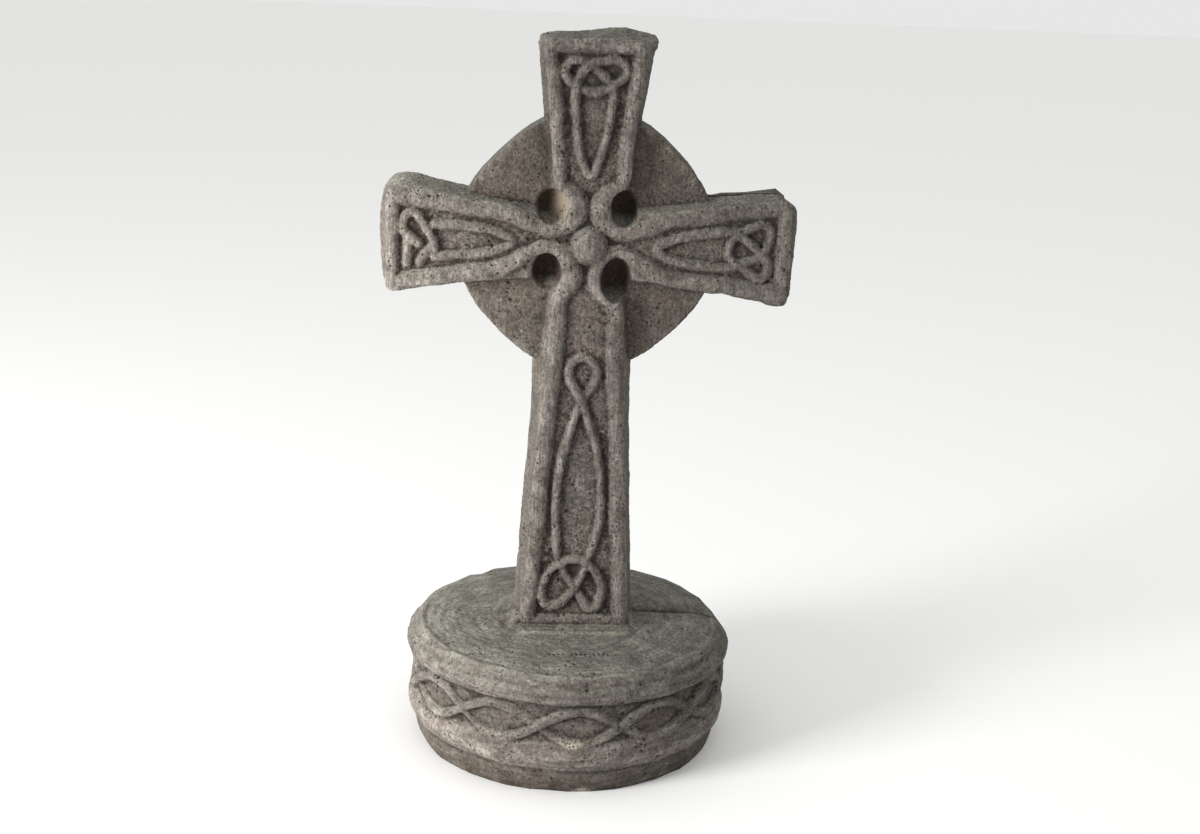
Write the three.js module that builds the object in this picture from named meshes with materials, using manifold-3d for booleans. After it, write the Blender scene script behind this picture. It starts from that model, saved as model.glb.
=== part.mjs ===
// A small ringed cross on a round plinth, the kind that stands in a garden or on a small grave.
// It is one casting of cement and sand, poured in a mould of two halves that meet in the plane
// y = 0, so the cross, its disc and its plinth are a single solid. Millimetres, +Z up, the
// carved front looks along -Y, and the origin is the middle of the underside.
import * as THREE from 'three';
import { mergeVertices } from 'three/addons/utils/BufferGeometryUtils.js';
import Module from 'manifold-3d';

const wasm = await Module();
wasm.setup();

// Plinth
const footRadius = 68.8;
const footTopRadius = 72;
const footHeight = 11.8;
const lowerBeadRadius = 76;
const lowerBeadHeight = 13.7;
const bandRadius = 72.3;
const bandHeight = 18.5;
const upperBeadRadius = 76.8;
const upperBeadHeight = 13.5;
const topDiscRadius = 68;
const topDome = 1.2;
const grooveDepth = 0.7;

// Cross, seen from the front
const centreAbovePlinth = 182.5;
const armReach = 90;
const armEndHalf = 21.5;
const armRootHalf = 12.2;
const topReach = 88;
const topEndHalf = 21.7;
const topRootHalf = 16.2;
const shaftFootHalf = 25;
const shaftRootHalf = 15.9;

// Cross, seen from the side
const faceDepth = 14;
const mouldDraft = 3.6;
const discRadius = 58.7;
const discDepth = 7;
const discEdgeSlope = 1.2;

// Rounded frame, boss and the four round hollows
const rollRadius = 3.4;
const hollowOffset = 15.8;
const hollowRadius = 7.5;
const hollowWebFront = 1;
const hollowWebBack = 4.5;
const bossRadius = 8.6;
const bossRise = 6;

// Cords of the knotwork
const cordRadius = 1.8;
const cordSink = 0.2;
const cordLift = 0.8;
const bandCordRadius = 2.1;
const bandWaves = 6;
const bandSwing = 7.6;

// Fineness of the faceting
const plinthFacets = 40;
const discFacets = 40;
const rollFacets = 8;
const cordFacets = 6;
const hollowFacets = 12;

const plinthHeight = footHeight + lowerBeadHeight + bandHeight + upperBeadHeight;
const centreHeight = plinthHeight + centreAbovePlinth;
const buried = 3;

// Closed three.js geometry to a solid for joining and cutting
function solid(geometry) {
  const bare = geometry.index ? geometry.toNonIndexed() : geometry.clone();
  bare.deleteAttribute('normal');
  bare.deleteAttribute('uv');
  const merged = mergeVertices(bare, 1e-4);
  const positions = new Float32Array(merged.attributes.position.array);
  const triangles = new Uint32Array(merged.index.array);
  return new wasm.Manifold(new wasm.Mesh({
    numProp: 3,
    vertProperties: positions,
    triVerts: triangles,
  }));
}

// Solid back to a three.js geometry
function geometryOf(manifold) {
  const mesh = manifold.getMesh();
  const geometry = new THREE.BufferGeometry();
  geometry.setAttribute('position', new THREE.BufferAttribute(mesh.vertProperties, 3));
  geometry.setIndex(new THREE.BufferAttribute(mesh.triVerts, 1));
  return geometry;
}

function joined(solids) {
  return solids.reduce((sum, next) => sum.add(next));
}

// Flat drawing in x and z, extruded through the thickness with the mould's draft on both halves
function drafted(outline, halfDepth, slope) {
  const flat = 1;
  const geometry = new THREE.ExtrudeGeometry(outline, {
    depth: flat,
    bevelEnabled: true,
    bevelThickness: halfDepth - flat / 2,
    bevelSize: slope,
    bevelSegments: 1,
    curveSegments: discFacets / 2,
  });
  geometry.translate(0, 0, -flat / 2);
  geometry.rotateX(Math.PI / 2);
  geometry.translate(0, 0, centreHeight);
  return solid(geometry);
}

// Round bar along a curve
function bar(curve, radius, steps, facets) {
  const section = new THREE.Shape();
  section.absarc(0, 0, radius, 0, 2 * Math.PI, false);
  const geometry = new THREE.ExtrudeGeometry(section, {
    steps,
    curveSegments: facets / 2,
    extrudePath: curve,
    bevelEnabled: false,
  });
  return solid(geometry);
}

// Half of a rounded moulding, from its fullest point towards the edge where it ends
function beadHalf(fullRadius, fullHeight, endRadius, endHeight, turns) {
  const points = [];
  for (let i = 0; i <= turns; i += 1) {
    const angle = (Math.PI / 2) * (i / turns);
    const radius = endRadius + (fullRadius - endRadius) * Math.cos(angle);
    const height = fullHeight + (endHeight - fullHeight) * Math.sin(angle);
    points.push([radius, height]);
  }
  return points;
}

// Plinth: a foot that tucks under, a lower bead, the plain band and an upper bead
function plinthProfile() {
  const bandFoot = footHeight + lowerBeadHeight;
  const bandTop = bandFoot + bandHeight;
  const lowerFull = footHeight + lowerBeadHeight / 2;
  const upperFull = bandTop + upperBeadHeight * 0.3;
  const points = [
    [0, 0],
    [footRadius, 0],
    [footTopRadius, footHeight / 2],
    ...beadHalf(lowerBeadRadius, lowerFull, footTopRadius, footHeight, 2).reverse(),
    ...beadHalf(lowerBeadRadius, lowerFull, bandRadius, bandFoot, 2).slice(1),
    ...beadHalf(upperBeadRadius, upperFull, bandRadius, bandTop, 2).reverse(),
    ...beadHalf(upperBeadRadius, upperFull, topDiscRadius + grooveDepth, plinthHeight, 3).slice(1),
    [topDiscRadius, plinthHeight - grooveDepth],
    [topDiscRadius - 2 * grooveDepth, plinthHeight],
    [0, plinthHeight + topDome],
  ];
  return points.map(([radius, height]) => new THREE.Vector2(radius, height));
}

function plinthSolid() {
  const geometry = new THREE.LatheGeometry(plinthProfile(), plinthFacets);
  geometry.rotateX(Math.PI / 2);
  return solid(geometry);
}

// Two cords that cross twelve times on their way round the band
class BandCord extends THREE.Curve {
  constructor(side) {
    super();
    this.side = side;
  }

  getPoint(t, target = new THREE.Vector3()) {
    const turn = 2 * Math.PI * t;
    const middle = footHeight + lowerBeadHeight + bandHeight / 2;
    const rise = this.side * bandSwing * Math.cos(bandWaves * turn);
    const over = this.side * Math.sin(bandWaves * turn) * cordLift;
    const radius = bandRadius + over;
    return target.set(radius * Math.sin(turn), -radius * Math.cos(turn), middle + rise);
  }
}

// A stretch of another curve
class Stretch extends THREE.Curve {
  constructor(whole, from, to) {
    super();
    this.whole = whole;
    this.from = from;
    this.to = to;
  }

  getPoint(t, target = new THREE.Vector3()) {
    return this.whole.getPoint(this.from + (this.to - this.from) * t, target);
  }
}

function bandSolids() {
  const pieces = [];
  const pieceCount = 4;
  const overlap = 0.002;
  const steps = 12;
  for (const side of [1, -1]) {
    for (let i = 0; i < pieceCount; i += 1) {
      const from = i / pieceCount - overlap;
      const to = (i + 1) / pieceCount + overlap;
      const stretch = new Stretch(new BandCord(side), from, to);
      pieces.push(bar(stretch, bandCordRadius, steps, cordFacets));
    }
  }
  return pieces;
}

// Outline of the arms and shaft at the level of the carved ground, about the cross's centre
function crossOutline() {
  const armSlope = (armEndHalf - armRootHalf) / armReach;
  const topSlope = (topEndHalf - topRootHalf) / topReach;
  const shaftLength = centreAbovePlinth + buried;
  const shaftSlope = (shaftFootHalf - shaftRootHalf) / centreAbovePlinth;
  const innerX = (rootHalf, slope) => (rootHalf + slope * armRootHalf) / (1 - slope * armSlope);
  const topX = innerX(topRootHalf, topSlope);
  const shaftX = innerX(shaftRootHalf, shaftSlope);
  const topZ = armRootHalf + armSlope * topX;
  const shaftZ = armRootHalf + armSlope * shaftX;
  const right = [
    [shaftRootHalf + shaftSlope * shaftLength, -shaftLength],
    [shaftX, -shaftZ],
    [armReach, -armEndHalf],
    [armReach, armEndHalf],
    [topX, topZ],
    [topEndHalf, topReach],
  ];
  const left = right.map(([x, z]) => [-x, z]).reverse();
  return new THREE.Shape([...right, ...left].map(([x, z]) => new THREE.Vector2(x, z)));
}

function discOutline() {
  const outline = new THREE.Shape();
  outline.absarc(0, 0, discRadius - discEdgeSlope, 0, 2 * Math.PI, false);
  return outline;
}

// Point on a carved face: x and z from the cross's centre, and depth below that face's ground
function facePoint(x, z, front, sink = 0) {
  const y = faceDepth - sink;
  return new THREE.Vector3(x, front ? -y : y, centreHeight + z);
}

// The frame's half width along an arm, to the middle of the roll
function frameHalf(rootHalf, endHalf, reach, along) {
  return rootHalf + ((endHalf - rootHalf) * along) / reach - rollRadius;
}

// One quarter of the frame: down one arm, round a hollow on the side of the centre, out the next
function frameQuarter(acrossX, alongZ, front) {
  const up = alongZ > 0;
  const uprightReach = up ? topReach : centreAbovePlinth;
  const uprightRoot = up ? topRootHalf : shaftRootHalf;
  const uprightEnd = up ? topEndHalf : shaftFootHalf;
  const bend = hollowRadius + rollRadius;
  const rootAlong = hollowOffset + bend;
  const point = (x, z) => facePoint(acrossX * x, alongZ * z, front, 0);
  const armStop = armReach - rollRadius;
  const uprightStop = uprightReach - rollRadius;
  const armHalf = (along) => frameHalf(armRootHalf, armEndHalf, armReach, along);
  const uprightHalf = (along) => frameHalf(uprightRoot, uprightEnd, uprightReach, along);
  const round = [point(rootAlong, armHalf(rootAlong))];
  for (let degrees = 290; degrees >= 160; degrees -= 26) {
    const angle = THREE.MathUtils.degToRad(degrees);
    const x = hollowOffset + bend * Math.cos(angle);
    const z = hollowOffset + bend * Math.sin(angle);
    round.push(point(x, z));
  }
  round.push(point(uprightHalf(rootAlong), rootAlong));
  const armCorner = point(armStop, armHalf(armStop));
  const uprightCorner = point(uprightHalf(uprightStop), uprightStop);
  const roundSteps = 8;
  return [
    bar(new THREE.LineCurve3(armCorner, round[0]), rollRadius, 1, rollFacets),
    bar(new THREE.CatmullRomCurve3(round), rollRadius, roundSteps, rollFacets),
    bar(new THREE.LineCurve3(round[round.length - 1], uprightCorner), rollRadius, 1, rollFacets),
  ];
}

// The short rolls across the ends of the arms and above the plinth
function frameEnds(front) {
  const armX = armReach - rollRadius;
  const armZ = frameHalf(armRootHalf, armEndHalf, armReach, armX) + rollRadius;
  const topZ = topReach - rollRadius;
  const topX = frameHalf(topRootHalf, topEndHalf, topReach, topZ) + rollRadius;
  const footZ = centreAbovePlinth - rollRadius;
  const footX = frameHalf(shaftRootHalf, shaftFootHalf, centreAbovePlinth, footZ) + rollRadius;
  const runs = [
    [[-topX, topZ], [topX, topZ]],
    [[-footX, -footZ], [footX, -footZ]],
    [[-armX, -armZ], [-armX, armZ]],
    [[armX, -armZ], [armX, armZ]],
  ];
  return runs.map(([start, end]) => {
    const line = new THREE.LineCurve3(facePoint(...start, front), facePoint(...end, front));
    return bar(line, rollRadius, 1, rollFacets);
  });
}

function frameSolids(front) {
  const quarters = [[1, 1], [-1, 1], [1, -1], [-1, -1]];
  return [...quarters.flatMap(([x, z]) => frameQuarter(x, z, front)), ...frameEnds(front)];
}

// Thimble-shaped hollow, cut from one face and stopping short of the other
function hollowCutter(x, z, front) {
  const mouth = faceDepth + 2 * rollRadius;
  const floor = front ? hollowWebFront : hollowWebBack;
  const depth = mouth - floor;
  const profile = [
    [0, 0],
    [hollowRadius * 0.45, 0],
    [hollowRadius * 0.8, depth * 0.14],
    [hollowRadius * 0.95, depth * 0.45],
    [hollowRadius, depth],
    [0, depth],
  ].map(([radius, height]) => new THREE.Vector2(radius, height));
  const geometry = new THREE.LatheGeometry(profile, hollowFacets);
  if (front) {
    geometry.rotateX(Math.PI);
  }
  geometry.translate(x, front ? -floor : floor, centreHeight + z);
  return solid(geometry);
}

// Boss: a low dome where the arms meet
function bossSolid(front) {
  const profile = [[0, -rollRadius]];
  const rings = 5;
  for (let i = 0; i <= rings; i += 1) {
    const angle = (Math.PI / 2) * (i / rings);
    profile.push([bossRadius * Math.cos(angle), bossRise * Math.sin(angle)]);
  }
  profile.splice(1, 0, [bossRadius, -rollRadius]);
  profile[profile.length - 1][0] = 0;
  const points = profile.map(([radius, height]) => new THREE.Vector2(radius, height));
  const geometry = new THREE.LatheGeometry(points, hollowFacets);
  if (front) {
    geometry.rotateX(Math.PI);
  }
  geometry.translate(0, front ? -faceDepth : faceDepth, centreHeight);
  return solid(geometry);
}

// A cord on the front face; the third number of a point lifts it over or sinks it under
function cordSolid(points, steps) {
  const path = points.map(([x, z, lift = 0]) => facePoint(x, z, true, cordSink - lift * cordLift));
  return bar(new THREE.CatmullRomCurve3(path), cordRadius, steps, cordFacets);
}

// Knot of an arm, drawn for an arm that points up and turned for the side arms: a long pointed
// loop whose ends tie a two-lobed knot at the wide end of the panel
function armKnot(reach, endHalf, turn) {
  const far = reach - 2 * rollRadius - 2 * cordRadius;
  const lobe = (endHalf - 2 * rollRadius) / 2 + cordRadius / 2;
  const tip = 2 * hollowOffset;
  const along = (share) => tip + (far - tip) * share;
  const loop = [
    [lobe * 0.95, along(0.9), 1],
    [0, along(1.02), 1],
    [-lobe * 0.9, along(0.82), 1],
    [-lobe, along(0.7)],
    [-lobe * 0.95, along(0.45)],
    [-lobe * 0.6, along(0.18)],
    [0, along(0), 0.4],
    [lobe * 0.6, along(0.18)],
    [lobe * 0.95, along(0.45)],
    [lobe, along(0.66), -0.6],
    [lobe * 0.7, along(0.76), 0.5],
    [0, along(0.92), -1],
    [-lobe, along(1.04)],
    [-lobe * 1.75, along(0.96)],
    [-lobe * 1.4, along(0.82)],
    [-lobe * 0.7, along(0.74), -1],
    [0, along(0.71)],
    [lobe * 0.9, along(0.74), 1],
    [lobe * 1.55, along(0.86)],
    [lobe * 1.6, along(0.98)],
    [lobe * 0.8, along(1.03)],
    [0, along(0.99), -0.5],
  ];
  const cosine = Math.cos(turn);
  const sine = Math.sin(turn);
  const turned = loop.map(([x, z, lift = 0]) => [x * cosine + z * sine, z * cosine - x * sine, lift]);
  const steps = 40;
  return cordSolid(turned, steps);
}

// Long cord of the shaft: a ring at the top, two bowed legs and an open knot of two loops below
function shaftKnot() {
  const length = centreAbovePlinth;
  const half = shaftRootHalf - 2 * rollRadius;
  const cord = [
    [half * 0.1, -0.4 * length, 1],
    [-half * 0.55, -0.37 * length],
    [-half * 0.8, -0.32 * length],
    [0, -0.275 * length],
    [half * 0.8, -0.32 * length],
    [half * 0.55, -0.37 * length],
    [-half * 0.1, -0.4 * length, -1],
    [-half * 0.85, -0.48 * length],
    [-half * 1.15, -0.58 * length],
    [-half * 1.2, -0.68 * length],
    [-half * 1, -0.77 * length],
    [-half * 0.6, -0.83 * length, -1],
    [half * 0.2, -0.88 * length, -1],
    [half * 0.85, -0.935 * length],
    [half * 1.45, -0.93 * length],
    [half * 1.5, -0.88 * length],
    [half * 0.9, -0.83 * length],
    [0, -0.815 * length, 0.6],
    [-half * 1.05, -0.83 * length],
    [-half * 1.7, -0.88 * length],
    [-half * 1.55, -0.93 * length],
    [-half * 0.95, -0.935 * length],
    [-half * 0.2, -0.88 * length, 1],
    [half * 0.6, -0.83 * length, 1],
    [half * 1.2, -0.75 * length],
    [half * 1.3, -0.66 * length],
    [half * 1.15, -0.55 * length],
    [half * 0.7, -0.46 * length],
    [-half * 0.1, -0.395 * length, 1],
  ];
  const steps = 76;
  return cordSolid(cord, steps);
}

function castingSolid() {
  const slab = drafted(crossOutline(), faceDepth, mouldDraft);
  const disc = drafted(discOutline(), discDepth, discEdgeSlope);
  const raised = [
    ...frameSolids(true),
    ...frameSolids(false),
    bossSolid(true),
    bossSolid(false),
    armKnot(topReach, topEndHalf, 0),
    armKnot(armReach, armEndHalf, Math.PI / 2),
    armKnot(armReach, armEndHalf, -Math.PI / 2),
    shaftKnot(),
  ];
  const corners = [[1, 1], [-1, 1], [1, -1], [-1, -1]];
  const hollows = corners.flatMap(([x, z]) => [true, false].map(
    (front) => hollowCutter(x * hollowOffset, z * hollowOffset, front),
  ));
  const cross = slab.add(disc).subtract(joined(hollows)).add(joined(raised));
  return joined([plinthSolid(), cross, ...bandSolids()]);
}

const castStone = new THREE.MeshStandardMaterial({
  color: 0x716a61,
  roughness: 0.93,
  metalness: 0,
});

const casting = new THREE.Mesh(geometryOf(castingSolid()), castStone);
casting.name = 'ringed_cross';

const memorial = new THREE.Group();
memorial.add(casting);

export default memorial;
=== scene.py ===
# A small ringed cross for a garden or a grave, cast in cement and sand. Cross, disc and plinth
# come out of a mould of two halves as one piece. A dark wash was rubbed off the high places, and
# years outdoors left it grey-brown, with pale ridges, dark pores and a little green on top.
import math
import random

import bpy
import numpy as np
from mathutils import Matrix, Vector
from mathutils.kdtree import KDTree


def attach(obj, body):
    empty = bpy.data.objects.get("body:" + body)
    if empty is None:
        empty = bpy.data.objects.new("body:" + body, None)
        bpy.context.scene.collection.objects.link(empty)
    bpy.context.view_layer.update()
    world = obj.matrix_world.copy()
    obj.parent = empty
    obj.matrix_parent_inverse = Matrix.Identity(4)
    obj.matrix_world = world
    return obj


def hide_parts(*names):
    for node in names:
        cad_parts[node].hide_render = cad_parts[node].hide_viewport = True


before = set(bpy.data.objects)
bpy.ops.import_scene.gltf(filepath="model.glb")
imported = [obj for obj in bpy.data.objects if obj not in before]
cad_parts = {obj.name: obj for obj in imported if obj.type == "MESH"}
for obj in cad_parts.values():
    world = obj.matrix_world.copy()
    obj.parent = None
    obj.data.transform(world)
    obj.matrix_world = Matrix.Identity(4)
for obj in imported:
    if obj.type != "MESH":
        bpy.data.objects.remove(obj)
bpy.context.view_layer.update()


# Camera: a little above the arms and five degrees to the left, tilted as it was held
mm = 0.001
photo_target = Vector((10.84, 0, 156.87)) * mm
camera_distance = 838.81 * mm
camera_left = math.radians(5.05)
camera_height = math.radians(15.85)
camera_roll = math.radians(2.55)

backward = Vector((
    -math.sin(camera_left) * math.cos(camera_height),
    -math.cos(camera_left) * math.cos(camera_height),
    math.sin(camera_height),
))
level_right = (-backward).cross(Vector((0, 0, 1))).normalized()
level_up = level_right.cross(-backward)
camera_right = math.cos(camera_roll) * level_right + math.sin(camera_roll) * level_up
camera_up = math.cos(camera_roll) * level_up - math.sin(camera_roll) * level_right
bpy.ops.object.camera_add()
camera = bpy.context.object
camera.name = "camera"
camera.data.sensor_fit = "HORIZONTAL"
camera.data.sensor_width = 36
camera.data.lens = 54
camera_turn = Matrix((camera_right, camera_up, backward)).transposed().to_4x4()
camera.matrix_world = Matrix.Translation(photo_target + camera_distance * backward) @ camera_turn
bpy.context.scene.camera = camera


# Plinth: the round foot of the memorial, cast in cement and sand in one pour with the cross. It
# tucks under at the ground and has two beads with a plain band between them; a ring here is its
# radius and its height in millimetres.
plinth_sides = 160
plinth_rings = [
    (68.2, 0), (69.9, 1.4), (71.2, 4.2), (72, 7.4), (72.2, 10), (72, 11.6), (73.2, 12.4),
    (74.6, 14), (75.8, 16.6), (76, 19.4), (75.3, 22.3), (73.9, 24.8), (72.7, 26.6), (72.3, 30),
    (72.3, 39), (72.4, 43), (73.4, 44.4), (75.9, 45.3), (76.9, 47), (76.9, 49), (76, 50.9),
    (74.8, 52), (73.9, 52.3), (73.3, 53.6), (72.2, 55.5), (70.7, 56.9), (69.3, 57.1),
    (68.2, 56.4), (67, 56.9), (62, 57.6), (38, 58.2), (12, 58.6), (1, 58.7),
]


def turned(name, sides, rings):
    """A form drawn up ring by ring from its lowest disc; a ring is its radius and its height"""
    bpy.ops.object.select_all(action="DESELECT")
    foot_radius, foot_height = rings[0]
    bpy.ops.mesh.primitive_circle_add(
        vertices=sides, radius=foot_radius * mm, fill_type="NGON",
        location=(0, 0, foot_height * mm),
    )
    form = bpy.context.object
    form.name = name
    bpy.ops.object.transform_apply()
    bpy.ops.object.mode_set(mode="EDIT")
    bpy.ops.mesh.select_all(action="SELECT")
    for (last_radius, last_height), (radius, height) in zip(rings, rings[1:]):
        rise = (0, 0, (height - last_height) * mm)
        bpy.ops.mesh.extrude_region_move(TRANSFORM_OT_translate={"value": rise})
        share = radius / last_radius
        bpy.ops.transform.resize(value=(share, share, 1), center_override=(0, 0, height * mm))
    bpy.ops.mesh.select_all(action="SELECT")
    bpy.ops.mesh.normals_make_consistent(inside=False)
    bpy.ops.object.mode_set(mode="OBJECT")
    return form


plinth = turned("plinth", plinth_sides, plinth_rings)


# Cords of the band: raised cement ribs, cast in the plinth's mould. Two of them go round the
# band and cross twelve times, and the lower side is worn down in places.
band_radius = 72.3
band_middle = 33.2
band_swing = 7.8
band_waves = 6
band_cord = 2.1
band_lift = 0.7
band_start = -14
band_stand = 0.7
points_per_wave = 12
worn_stretches = [(-9, 3.5), (5, 3), (27, 5), (-38, 3)]
worn_share = 0.6
end_reach = 0.6
end_share = 0.5


def rounded_end(last, before, thickness):
    """A slimmer point just past the end of a bar, which rounds it off"""
    end = Vector(last[0])
    outward = (end - Vector(before[0])).normalized()
    return end + outward * thickness * last[1] * end_reach, last[1] * end_share


def cord(name, route, thickness, closed=False):
    """A round bar through points; each is a place in millimetres and its share of the thickness"""
    data = bpy.data.curves.new(name, "CURVE")
    data.dimensions = "3D"
    data.bevel_depth = thickness * mm
    data.bevel_resolution = 3
    data.resolution_u = 6
    data.use_fill_caps = True
    if not closed:
        route = [rounded_end(*route[:2], thickness), *route, rounded_end(*route[:-3:-1], thickness)]
    spline = data.splines.new("BEZIER")
    spline.bezier_points.add(len(route) - 1)
    spline.use_cyclic_u = closed
    for point, (place, share) in zip(spline.bezier_points, route):
        point.co = Vector(place) * mm
        point.handle_left_type = "AUTO"
        point.handle_right_type = "AUTO"
        point.radius = share
    bar = bpy.data.objects.new(name, data)
    bpy.context.collection.objects.link(bar)
    bpy.ops.object.select_all(action="DESELECT")
    bar.select_set(True)
    bpy.context.view_layer.objects.active = bar
    bpy.ops.object.convert(target="MESH")
    return bar


def band_route(side):
    """Once round the band, swinging over and under its middle"""
    count = band_waves * points_per_wave
    route = []
    for index in range(count):
        degrees = 360 * index / count + band_start
        angle = math.radians(degrees)
        phase = band_waves * (angle - math.radians(band_start))
        swing = side * band_swing * math.sin(phase)
        radius = band_radius + side * band_lift * math.cos(phase) + band_stand
        share = 1.0
        for middle, half in worn_stretches:
            away = abs((degrees - middle + 180) % 360 - 180)
            if swing < 0 and away < half:
                share = worn_share
        place = (radius * math.sin(angle), -radius * math.cos(angle), band_middle + swing)
        route.append((place, share))
    return route


band_cords = [cord("band_cord", band_route(side), band_cord, closed=True) for side in (1, -1)]


# Cross: the solid cement body of shaft and arms, cast in a mould of two halves. It is one flat
# outline with the flare of the arms, and both faces draw in from the mould's seam.
cross_x = 1.2
cross_z = 239.8
face_depth = 14
draft = 3.6
seam_flat = 1
facing_out = 0.9
shaft_bottom = -186
cross_outline = [
    (-28.6, shaft_bottom), (-26.9, -152), (-24.6, -115), (-23, -80), (-22.6, -56), (-18.5, -18),
    (-56, -20.3), (-73, -22.4), (-86.4, -24.3), (-89.3, -23.6), (-91.3, -18.8), (-92.6, -8),
    (-93, 4), (-92.5, 15), (-91.4, 21.3), (-88.8, 25.8), (-86, 28.2), (-82, 28.9), (-76, 28.2),
    (-69, 26.4), (-62, 24.8), (-52, 22.4), (-19.5, 17.5),
    (-21, 56), (-23, 74), (-24.3, 88), (-23.4, 90.9), (-17, 92.4), (-4, 93.4), (6, 94.5),
    (13, 94.8), (19.5, 93.4), (26.8, 91.5), (28.3, 89.4), (26.9, 86.8), (25.2, 73),
    (22.4, 56), (19, 18),
    (56, 22.2), (75, 23.6), (85.8, 24.2), (88.2, 22.9), (91.7, 20.3), (94.4, 18.7), (95.2, 16.2),
    (95.6, 7), (95, -4), (94.2, -17), (93.3, -25.2), (91.7, -27.5), (88.8, -27.7), (84, -27.2),
    (80.5, -25.9), (75, -25.3), (68, -24), (63, -22.7), (54, -22.3), (18.5, -18),
    (22.6, -56), (23, -80), (24.6, -115), (26.9, -152), (28.6, shaft_bottom),
]


def slab(name, outline, depth):
    """The outline as a flat plate at the seam, then both faces drawn out with the mould's draft"""
    bpy.ops.object.select_all(action="DESELECT")
    bpy.ops.mesh.primitive_circle_add(vertices=len(outline), fill_type="NGON")
    form = bpy.context.object
    form.name = name
    for vertex, (x, z) in zip(form.data.vertices, outline):
        vertex.co = ((cross_x + x) * mm, seam_flat / 2 * mm, (cross_z + z) * mm)
    bpy.ops.object.mode_set(mode="EDIT")
    bpy.ops.mesh.select_all(action="SELECT")
    bpy.ops.mesh.extrude_region_move(TRANSFORM_OT_translate={"value": (0, -seam_flat * mm, 0)})
    bpy.ops.mesh.select_all(action="SELECT")
    bpy.ops.mesh.normals_make_consistent(inside=False)
    bpy.ops.mesh.select_mode(type="FACE")
    for outward in (-1, 1):
        bpy.ops.mesh.select_all(action="DESELECT")
        bpy.ops.object.mode_set(mode="OBJECT")
        for face in form.data.polygons:
            face.select = face.normal.y * outward > facing_out
        bpy.ops.object.mode_set(mode="EDIT")
        rise = (0, outward * (depth - seam_flat / 2) * mm, 0)
        bpy.ops.mesh.inset(thickness=draft * depth / face_depth * mm, use_even_offset=True)
        bpy.ops.transform.translate(value=rise)
    bpy.ops.object.mode_set(mode="OBJECT")
    return form


cross_slab = slab("cross_slab", cross_outline, face_depth)


# Disc: the thin plate of cement that fills the ring between the arms, cast with them. Its rim is
# a little flat at the corners and its edges are rubbed round.
disc_radius = 58.7
disc_depth = 7
disc_flat = 0.035
disc_edge = 1.2
disc_sides = 120

bpy.ops.object.select_all(action="DESELECT")
bpy.ops.mesh.primitive_cylinder_add(
    vertices=disc_sides, radius=disc_radius * mm, depth=2 * disc_depth * mm,
    location=(cross_x * mm, 0, cross_z * mm), rotation=(math.pi / 2, 0, 0),
)
disc = bpy.context.object
disc.name = "disc"
bpy.ops.object.transform_apply()
for vertex in disc.data.vertices:
    out = Vector((vertex.co.x - cross_x * mm, 0, vertex.co.z - cross_z * mm))
    corner = math.sin(2 * math.atan2(out.z, out.x)) ** 2
    vertex.co -= out * disc_flat * corner ** 2
bevel = disc.modifiers.new("edge", "BEVEL")
bevel.width = disc_edge * mm
bevel.segments = 3
bpy.ops.object.modifier_apply(modifier="edge")


# Hollows: four blind, thumb-like holes in each face, beside the centre, left by cores in the
# mould. Each is its place from the centre, half its width and height, and how far the middle of
# the frame's roll lies beside it and above or below it.
hollows = [
    (-16.8, 17.4, 7.3, 8, 5.1, 3.4), (15.3, 17.4, 6.6, 8.3, 5.1, 3.8),
    (-18.3, -12, 6.8, 8.9, 5.5, 3.1), (12.9, -15, 7.1, 10.2, 3.6, 3.1),
]
hollow_mouth = face_depth + 8
hollow_web = 2
back_web = 4.5
hollow_sides = 32
hollow_shape = [
    (0.2, 0), (0.48, 0.03), (0.72, 0.12), (0.87, 0.28), (0.96, 0.5), (1, 0.7), (1.05, 1),
]


def hollow_cutter(x, z, half_width, half_height, front):
    """A blunt cone that starts outside the face and ends before the middle of the casting"""
    web = hollow_web if front else back_web
    deep = hollow_mouth - web
    rings = [(half_width * share, deep * along) for share, along in hollow_shape]
    cutter = turned("hollow", hollow_sides, rings)
    side = 1 if front else -1
    turn = Matrix.Rotation(side * math.pi / 2, 4, "X")
    place = Matrix.Translation(Vector((cross_x + x, -side * web, cross_z + z)) * mm)
    taller = Matrix.Diagonal((1, 1, half_height / half_width, 1))
    cutter.data.transform(place @ taller @ turn)
    return cutter


def cut(form, cutter):
    """Takes one closed form out of another"""
    bpy.ops.object.select_all(action="DESELECT")
    bpy.context.view_layer.objects.active = form
    form.select_set(True)
    boolean = form.modifiers.new("cut", "BOOLEAN")
    boolean.solver = "EXACT"
    boolean.object = cutter
    bpy.ops.object.modifier_apply(modifier="cut")


cutters = [hollow_cutter(*hollow[:4], front) for hollow in hollows for front in (True, False)]


# Frame: rounded rolls of cement, cast with the body. One runs down each side of an arm, dips
# round the hollow beside the centre, and others close the ends.
roll_height = 0.8
ring_roll = 4.6
ring_overlap = 0.3
side_roll = {"top": 3.3, "left": 4.1, "right": 3.8, "shaft": 3.9}
end_roll = {"top": 3.3, "left": 3.1, "right": 3.9, "shaft": 3.4}
arm_reach = {"top": 87.2, "left": 87, "right": 87.8, "shaft": 179.4}
arm_root_half = {"top": 10.0, "left": 7.2, "right": 9.0, "shaft": 10.6}
arm_end_half = {"top": 19.8, "left": 19.8, "right": 19.6, "shaft": 22.0}
left_arm_rise = 1.6
ground_lift = 0.2
side_steps = 5
shaft_steps = 9
roll_wander = 0.3
roll_first = 0.5


def on_face(x, z, lift, front):
    """A place on a carved face, in millimetres from the middle of the plinth's underside"""
    y = face_depth + ground_lift + lift
    return (cross_x + x, -y if front else y, cross_z + z)


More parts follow.
